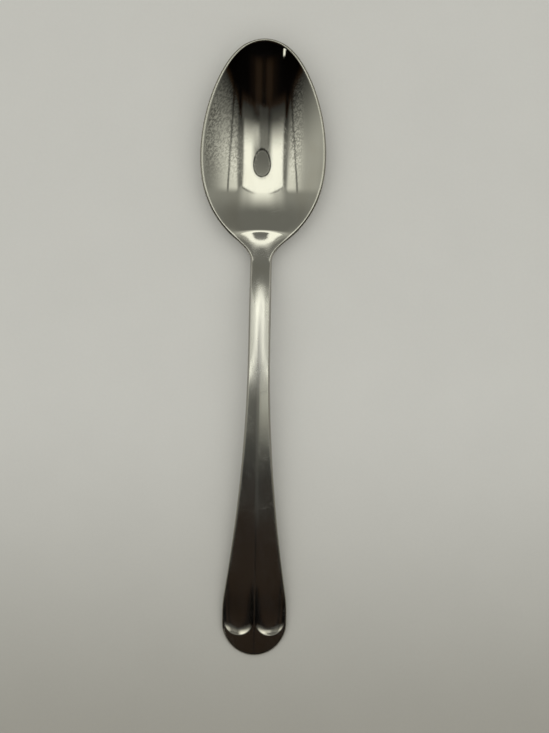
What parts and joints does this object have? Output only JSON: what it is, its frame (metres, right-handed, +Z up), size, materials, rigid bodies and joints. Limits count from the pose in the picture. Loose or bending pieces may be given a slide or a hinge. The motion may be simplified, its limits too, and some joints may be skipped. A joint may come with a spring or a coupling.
{
  "type": "teaspoon",
  "caption": "Steel teaspoon with a polished egg-shaped bowl and an arched satin handle with shallow flutes and a round end.",
  "frame": {"origin": "on the table, under the middle of the spoon's length and width", "axes": "+Y from the handle's end to the bowl's tip, +X across, +Z up out of the bowl"},
  "size_m": [0.0284, 0.14, 0.0113],
  "materials": {
    "polished_steel": "mirror-polished stainless steel with fine wear scratches",
    "satin_steel": "stainless steel worn satin along its length"
  },
  "bodies": {
    "root": {"bowl": "polished_steel", "handle": "satin_steel"}
  },
  "joints": []
}
